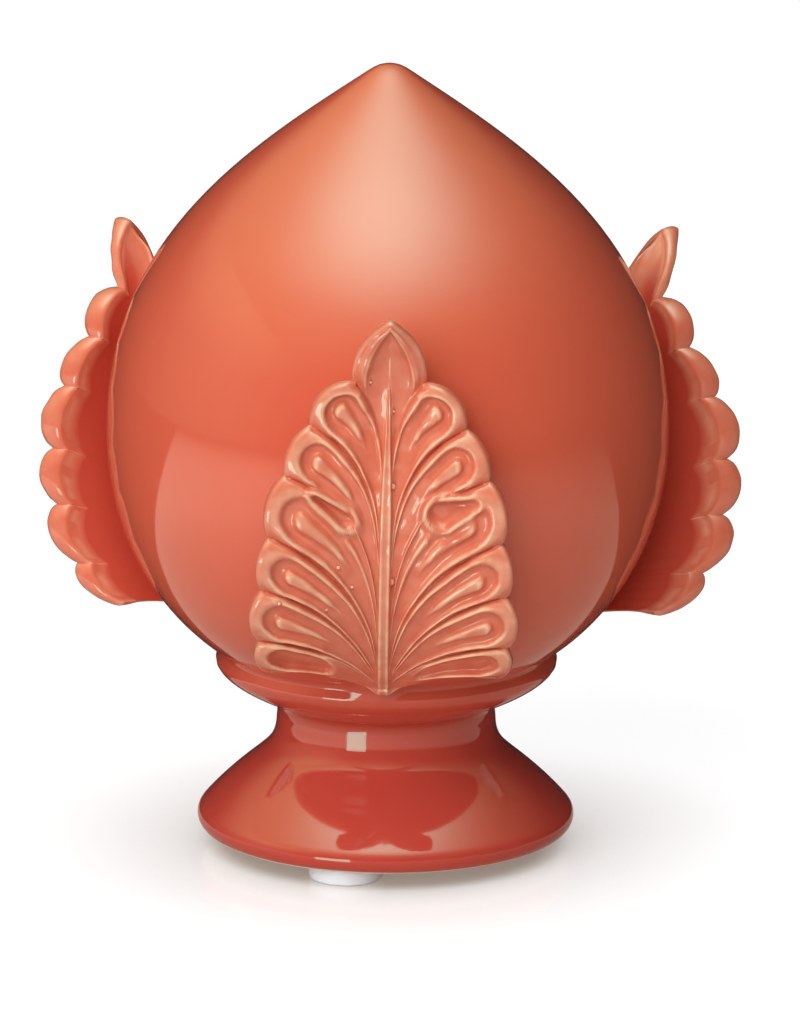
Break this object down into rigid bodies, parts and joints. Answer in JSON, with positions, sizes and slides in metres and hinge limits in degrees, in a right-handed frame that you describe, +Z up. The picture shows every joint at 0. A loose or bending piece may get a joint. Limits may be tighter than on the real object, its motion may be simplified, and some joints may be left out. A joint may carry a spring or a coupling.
{
  "type": "porcelain pumo",
  "caption": "Glazed coral porcelain flower bud finial with pressed acanthus leaves, on a turned collar, neck and trumpet foot with stick-on feet",
  "frame": {"origin": "on the surface it stands on, under the middle of its overall width and depth; the axis of the turned body is 4.0 mm behind it, because one leaf faces forwards and two face backwards", "axes": "+Z up along the axis of the turned body, the front leaf towards -Y, +X to the right of someone facing that leaf"},
  "size_m": [0.1204, 0.1058, 0.1388],
  "materials": {
    "glazed_porcelain": "glossy coral glaze that breaks to pale peach on raised edges",
    "bumper_rubber": "satin white polyurethane"
  },
  "bodies": {
    "root": {"pumo": "glazed_porcelain", "bumper_foot_1": "bumper_rubber", "bumper_foot_2": "bumper_rubber", "bumper_foot_3": "bumper_rubber"}
  },
  "joints": []
}
